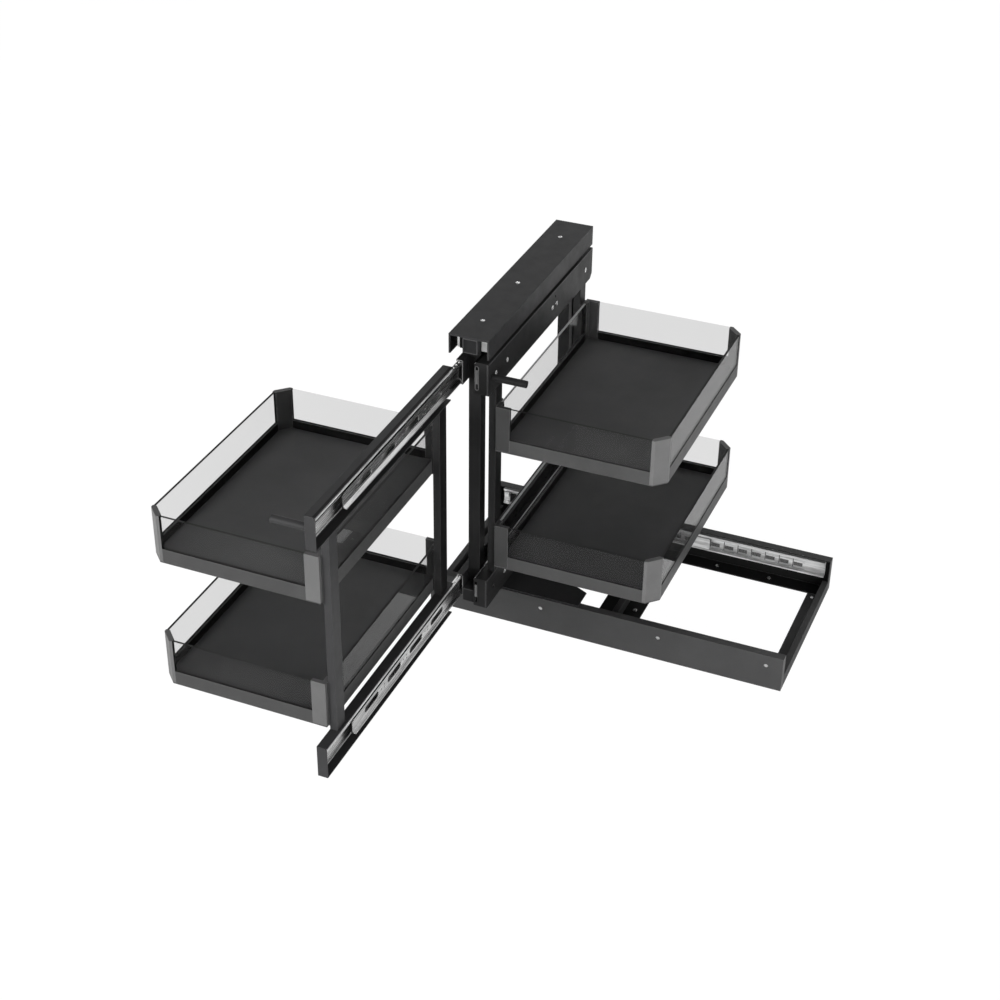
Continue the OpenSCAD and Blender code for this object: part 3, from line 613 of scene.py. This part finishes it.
# near-black strip on the back post, between its packers, on the side of the rear group's upright:
# painted shade of the gap between them
PACKER = 5.5 * MM
SHADE_STRIP_GAP = 3 * MM
_, post_high = corners("carriage_back_post")
post_face = post_high[0] - PACKER
shade_strip_foot = corners("rear_low_slide_outer")[1][2] + SHADE_STRIP_GAP
shade_strip_top = corners("rear_top_slide_outer")[0][2] - SHADE_STRIP_GAP
piece("back_post_painted_shade",
      bar((post_face - HAIR, post_high[1] - 3 * MM, shade_strip_foot),
          (post_face + 2 * MM, post_high[1] - HAIR, shade_strip_top), 0.4 * MM),
      "carriage", STOP_AND_SHADE_BLACK)

# Pieces of the base

# centres of the screws in the base's floor flanges and in its cross member, in mm
FLOOR_SCREWS = ((119.6, 150.5), (221.3, 150.5), (311.0, 122.5), (-119.6, 150.5),
                (-311.0, 122.5), (119.6, -150.5), (221.3, -150.5), (311.0, -122.5),
                (-311.0, -122.5), (24.0, -48.0), (24.0, 48.0))
FLOOR_SCREW_RADIUS = 4.2 * MM
SHEET = 2.0 * MM
piece("foot_screws", copies(screw_head(FLOOR_SCREW_RADIUS, HEAD_HEIGHT), [
    (x * MM, y * MM, SHEET) for x, y in FLOOR_SCREWS]), "base", SCREW_ZINC)

WINDOWS = 21


def cage_windows(node, inner):
    """Plates behind a side slide's cage windows, painted with the windows' shade and the balls'
    glints, and the seams between the cage's links.

    Window i sits at the cage's left end plus (i + 0.5) times the pitch. A seam is a narrow
    bar along its left edge, up to the cage's upper edge. inner is +1 where the cage faces
    +Y and -1 where it faces -Y.
    """
    low, high = corners(node)
    pitch = (high[0] - low[0]) / WINDOWS
    middles = low[0] + (np.arange(WINDOWS) + 0.5) * pitch
    deep = low[1] if inner > 0 else high[1]
    back = deep + inner * 0.25 * MM
    sheet = deep + inner * 1.25 * MM
    half = 9 * MM
    mid = (low[2] + high[2]) / 2
    window_plates = bars([((x - half, back, mid - 10.5 * MM),
                   (x + half, back + inner * 0.3 * MM, mid - 2.0 * MM)) for x in middles])
    seams = bars([((x - 10.0 * MM, sheet, low[2] + 3.0 * MM),
                   (x - 8.9 * MM, sheet + inner * 0.35 * MM, high[2] - 0.5 * MM))
                  for x in middles])
    return window_plates, seams


# the runner's end: x from, x to, z from, z to and depth, in mm
RUNNER_STOP = ((13.5, 25.5, 38.0, 56.0, 4.5),)
RUNNER_TABS = ((2.5, 11.0, 48.0, 58.0, 4.0), (0.5, 11.5, 31.0, 37.5, 3.5))


def runner_end(node, inner, blocks):
    """Rounded blocks at the left end of a side slide's runner, standing on its face."""
    low, high = corners(node)
    face = high[1] if inner > 0 else low[1]
    return bars([((low[0] + a * MM, face + inner * 0.05 * MM, c * MM),
                  (low[0] + b * MM, face + inner * depth * MM, d * MM))
                 for a, b, c, d, depth in blocks], 0.5 * MM)


for side, inner in (("front", 1), ("back", -1)):
    window_plates, seams = cage_windows(side + "_side_ball_cage", inner)
    piece(side + "_cage_windows", window_plates, "base", BALL_SHADE_AND_GLINTS, smooth=False)
    piece(side + "_cage_seams", seams, "base", STOP, smooth=False)
    low, high = corners(side + "_side_slide_rail")
    face = high[1] if inner > 0 else low[1]
    piece(side + "_rail_lip", bar((low[0] + MM, face, high[2] - 4.7 * MM),
                                  (high[0] - MM, face + inner * 0.4 * MM, high[2] - HAIR), HAIR),
          "base", SIDE_ZINC, smooth=False)
    runner = side + "_side_slide_runner"
    piece(side + "_runner_stop", runner_end(runner, inner, RUNNER_STOP), "carriage", STOP_AND_SHADE_BLACK)
    piece(side + "_runner_tabs", runner_end(runner, inner, RUNNER_TABS), "carriage", HIGHLIGHT_AND_TAB_ZINC)

# Pieces of the groups' slides and channels

# places of the screws in the channels' webs, as shares of the length
WEB_SCREW_SHARES = {"top": (0.062, 0.162, 0.587, 0.628, 0.926),
                    "low": (0.162, 0.587, 0.628, 0.926)}
for group, toward in (("front", "-X"), ("rear", "+X")):
    sign = 1 if toward == "+X" else -1
    spots = []
    for level in LEVELS:
        name = group + "_" + level + "_channel"
        low, high = corners(name)
        face = high[0] if sign > 0 else low[0]
        spots += [(face - sign * SUNK, y, (low[2] + high[2]) / 2)
                  for y in along(name, WEB_SCREW_SHARES[level])]
    piece(group + "_channel_screws", copies(screw_head(4.5 * MM, 2.0 * MM), spots,
                                            facing(toward)), group + "_group", SCREW_ZINC)

OUTER_WALL = 1.6 * MM
for group, sign in (("front", 1), ("rear", -1)):
    collars, highlight_bands, shade_bands = [], [], []
    for level in LEVELS:
        # light strip under the channel's upper flange, a painted highlight, and a near-black
        # strip along its edge, painted shade
        low, high = corners(group + "_" + level + "_channel")
        near = high[0] if sign > 0 else low[0]
        if level == "top":
            shade_bands.append(((near - sign * 4.5 * MM, low[1] + MM, high[2] - 0.05 * MM),
                           (near + sign * HAIR, high[1] - MM, high[2] + 0.15 * MM)))
        highlight_bands.append(((near - sign * 1.4 * MM, low[1] + 2 * MM, high[2] - 6.5 * MM),
                     (near + sign * 0.3 * MM, high[1] - 2 * MM, high[2] - 3.0 * MM)))
        # bare cut edge round the mouth of the outer member: its two legs and its web
        low, high = corners(group + "_" + level + "_slide_outer")
        web = (high[0] - OUTER_WALL, high[0]) if sign > 0 else (low[0], low[0] + OUTER_WALL)
        for (x0, x1), (z0, z1) in (((low[0], high[0]), (low[2], low[2] + OUTER_WALL)),
                                   ((low[0], high[0]), (high[2] - OUTER_WALL, high[2])),
                                   (web, (low[2], high[2]))):
            collars.append(((x0, low[1] - 0.2 * MM, z0), (x1, low[1] + 1.6 * MM, z1)))
    piece(group + "_outer_collars", bars(collars, HAIR), "carriage", CUT_EDGE_AND_SLOT_LIGHT,
          smooth=False)
    piece(group + "_channel_highlights", bars(highlight_bands, HAIR), group + "_group", HIGHLIGHT_AND_TAB_ZINC,
          smooth=False)
    piece(group + "_channel_painted_shade", bars(shade_bands, HAIR), group + "_group", STOP_AND_SHADE_BLACK,
          smooth=False)


def slot_rim(half_width, half_height, centre):
    """Raised rim round an upright slot that faces -Y.

    Four stadium loops, a half circle of radius r above and one below the straight sides, are
    lofted: out of the plate, over a flat crown, and back in through the slot.
    """
    t = np.linspace(0, np.pi, 9)
    straight = half_height - half_width
    loops = []
    for r, depth in ((half_width + 0.9, 0.0), (half_width + 0.8, -0.3),
                     (half_width - 0.1, -0.3), (half_width - 0.2, 1.3)):
        upper = np.stack([r * np.cos(t), 0 * t + depth, straight + r * np.sin(t)], -1)
        lower = np.stack([-r * np.cos(t), 0 * t + depth, -straight - r * np.sin(t)], -1)
        loops.append(np.concatenate([upper, lower]))
    points = np.concatenate(loops) * MM + np.asarray(centre)
    return points, grid_faces(len(loops), 2 * len(t))


SLOT_INSET = 4.25 * MM
rims, slot_lights, bend_highlights = [], [], []
for level in LEVELS:
    low, high = corners("rear_" + level + "_channel")
    middle_z = (low[2] + high[2]) / 2
    if level == "top":
        rims.append(slot_rim(2.75, 22.0, (low[0] + SLOT_INSET, low[1], middle_z)))
    slot_lights.append(((low[0] + 1.2 * MM, low[1] + 1.6 * MM, middle_z - 12 * MM),
                  (low[0] + 7.3 * MM, low[1] + 2.2 * MM, middle_z + 14 * MM)))
    bend_highlights += [((high[0] - 3.6 * MM, low[1] - 0.2 * MM, low[2] + MM),
               (high[0] - 1.0 * MM, low[1] + 0.1 * MM, high[2] - MM)),
              ((high[0] - 1.0 * MM, low[1] + MM, high[2] - 2.2 * MM),
               (high[0] + 0.2 * MM, high[1] - MM, high[2] + 0.15 * MM))]
# the slot rims' light coat is a painted highlight
piece("plate_slot_rims", joined(rims), "rear_group", SLOT_RIM_HIGHLIGHT)
# light grey plates behind the slots: painted light of the slots' lit insides
piece("plate_slot_painted_light", bars(slot_lights, HAIR), "rear_group", CUT_EDGE_AND_SLOT_LIGHT, smooth=False)
# strips of lighter coat along the bends: painted highlights
piece("channel_bend_highlights", bars(bend_highlights, HAIR), "rear_group", BEND_HIGHLIGHT,
      smooth=False)

# Pieces of the baskets: a near-black strip on the four inner sides of each rim

RIM_HEIGHT = 26.0 * MM
RIM_STRIP = 0.9 * MM
RIM_STRIP_CUT = 22 * MM
for group in ("front", "rear"):
    rim_strips = []
    for level in LEVELS:
        stem = group + "_" + level + "_basket_"
        board_low, board_high = corners(stem + "board")
        foot = board_high[2]
        top = corners(stem + "frame")[0][2] + RIM_HEIGHT - 1.2 * MM
        a, b = board_low + 0.15 * MM, board_high - 0.15 * MM
        for (x0, x1), (y0, y1) in (
                ((a[0] + RIM_STRIP_CUT, b[0] - RIM_STRIP_CUT), (b[1] - RIM_STRIP, b[1])),
                ((a[0] + RIM_STRIP_CUT, b[0] - RIM_STRIP_CUT), (a[1], a[1] + RIM_STRIP)),
                ((a[0], a[0] + RIM_STRIP), (a[1] + RIM_STRIP_CUT, b[1] - RIM_STRIP_CUT)),
                ((b[0] - RIM_STRIP, b[0]), (a[1] + RIM_STRIP_CUT, b[1] - RIM_STRIP_CUT))):
            rim_strips.append(((x0, y0, foot), (x1, y1, top)))
    piece(group + "_rim_dark_strips", bars(rim_strips), group + "_group", STOP_AND_SHADE_BLACK,
          smooth=False)


# Camera: the photograph's angle, fitted to the edges of the frame


def stand(made, axes, at):
    """Place an object with the given local axes and link it to the scene."""
    made.matrix_world = Matrix([(*[float(axis[i]) for axis in axes], at[i])
                                for i in range(3)] + [(0, 0, 0, 1)])
    bpy.context.scene.collection.objects.link(made)


AZIMUTH, ELEVATION = np.radians(23.63), np.radians(33.16)
CAMERA_AT = (0.84909, -2.71979, 2.03749)
camera_back = np.array([np.sin(AZIMUTH) * np.cos(ELEVATION),
                        -np.cos(AZIMUTH) * np.cos(ELEVATION), np.sin(ELEVATION)])
camera_right = np.array([np.cos(AZIMUTH), np.sin(AZIMUTH), 0.0])
camera_up = np.cross(camera_back, camera_right)
camera_data = bpy.data.cameras.new("camera")
camera_data.sensor_width = 36
camera_data.lens = 67.5
camera_data.shift_x = 0.037
camera_data.shift_y = 0.010
camera = bpy.data.objects.new("camera", camera_data)
stand(camera, (camera_right, camera_up, camera_back), CAMERA_AT)
bpy.context.scene.camera = camera

# Light and background

AIM = (0, -0.15, 0.3)
FRONT_GLOSS = 0.22
AMBIENT = 0.14
SHOWN = 1.03
FLOOR_GLOW = 0.97
FLOOR_REACH = 14.0
FLOOR_HEIGHT = -0.4 * MM


def softbox(name, at, size, power):
    """Square area lamp that points at the middle of the object."""
    lamp = bpy.data.lights.new(name, "AREA")
    lamp.shape = "SQUARE"
    lamp.size = size
    lamp.energy = power
    away = np.array(at, float) - np.array(AIM, float)
    away /= np.linalg.norm(away)
    side = np.cross([0, 0, 1.0], away)
    side /= np.linalg.norm(side)
    stand(bpy.data.objects.new(name, lamp), (side, np.cross(away, side), away), at)


softbox("right_softbox", (2.2, -2.9, 1.0), 1.8, 88)
softbox("left_softbox", (-2.3, -2.8, 1.0), 1.8, 118)
softbox("back_softbox", (0.3, 3.2, 2.6), 2.0, 6)


def brightness(graph, depth, near, far):
    """Strength of a white background, and the rays that see it plainly or in a gloss.

    Camera and transmitted rays see it in full. Glossy ones see it fade, from far to near
    along the depth, to a dim front of the studio.
    """
    path = graph.node("LightPath").outputs
    clear = graph.math("MAXIMUM", path["Is Camera Ray"], path["Is Transmission Ray"])
    glossy = path["Is Glossy Ray"]
    fade = graph.node("MapRange", Value=depth, From_Min=near, From_Max=far, To_Min=FRONT_GLOSS,
                      To_Max=1.0)
    fade.interpolation_type = "SMOOTHSTEP"
    gloss = graph.math("MULTIPLY", fade.outputs[0], glossy)
    return graph.math("MAXIMUM", gloss, graph.math("MULTIPLY", clear, SHOWN)), clear, glossy


def studio_world():
    """White surroundings that light the object only a little."""
    world = bpy.data.worlds.new("studio")
    world.use_nodes = True
    bpy.context.scene.world = world
    sky = Graph(world.node_tree)
    direction = sky.parts(sky.node("TexCoord").outputs["Generated"])
    shown, _, _ = brightness(sky, direction["Y"], -0.35, 0.45)
    background = sky.node("Background", Color=(1, 1, 1, 1),
                          Strength=sky.math("MAXIMUM", shown, AMBIENT))
    sky.node("OutputWorld", Surface=background.outputs[0])


def studio_floor():
    """Pale floor that shows as white, with the object's shadow kept in part."""
    material = bpy.data.materials.new("floor_white")
    material.use_nodes = True
    ground = Graph(material.node_tree)
    place = ground.parts(ground.node("TexCoord").outputs["Object"])
    shown, clear, glossy = brightness(ground, place["Y"], -1.6, 0.2)
    matt = ground.node("BsdfDiffuse", Color=(0.9, 0.9, 0.9, 1))
    glow = ground.node("Emission", Strength=shown)
    blend = ground.node("MixShader", Fac=ground.math(
        "MULTIPLY", ground.math("MAXIMUM", clear, glossy), FLOOR_GLOW))
    ground.put(matt.outputs[0], blend.inputs[1])
    ground.put(glow.outputs[0], blend.inputs[2])
    ground.node("OutputMaterial", Surface=blend.outputs[0])
    far = FLOOR_REACH
    mesh = bpy.data.meshes.new("floor")
    mesh.from_pydata([(-far, -far, FLOOR_HEIGHT), (far, -far, FLOOR_HEIGHT),
                      (far, far, FLOOR_HEIGHT), (-far, far, FLOOR_HEIGHT)], [], [(0, 1, 2, 3)])
    mesh.materials.append(material)
    made = bpy.data.objects.new("floor", mesh)
    bpy.context.scene.collection.objects.link(made)
    made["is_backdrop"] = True


studio_world()
studio_floor()
bpy.context.scene.view_settings.view_transform = "Standard"

low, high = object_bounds()
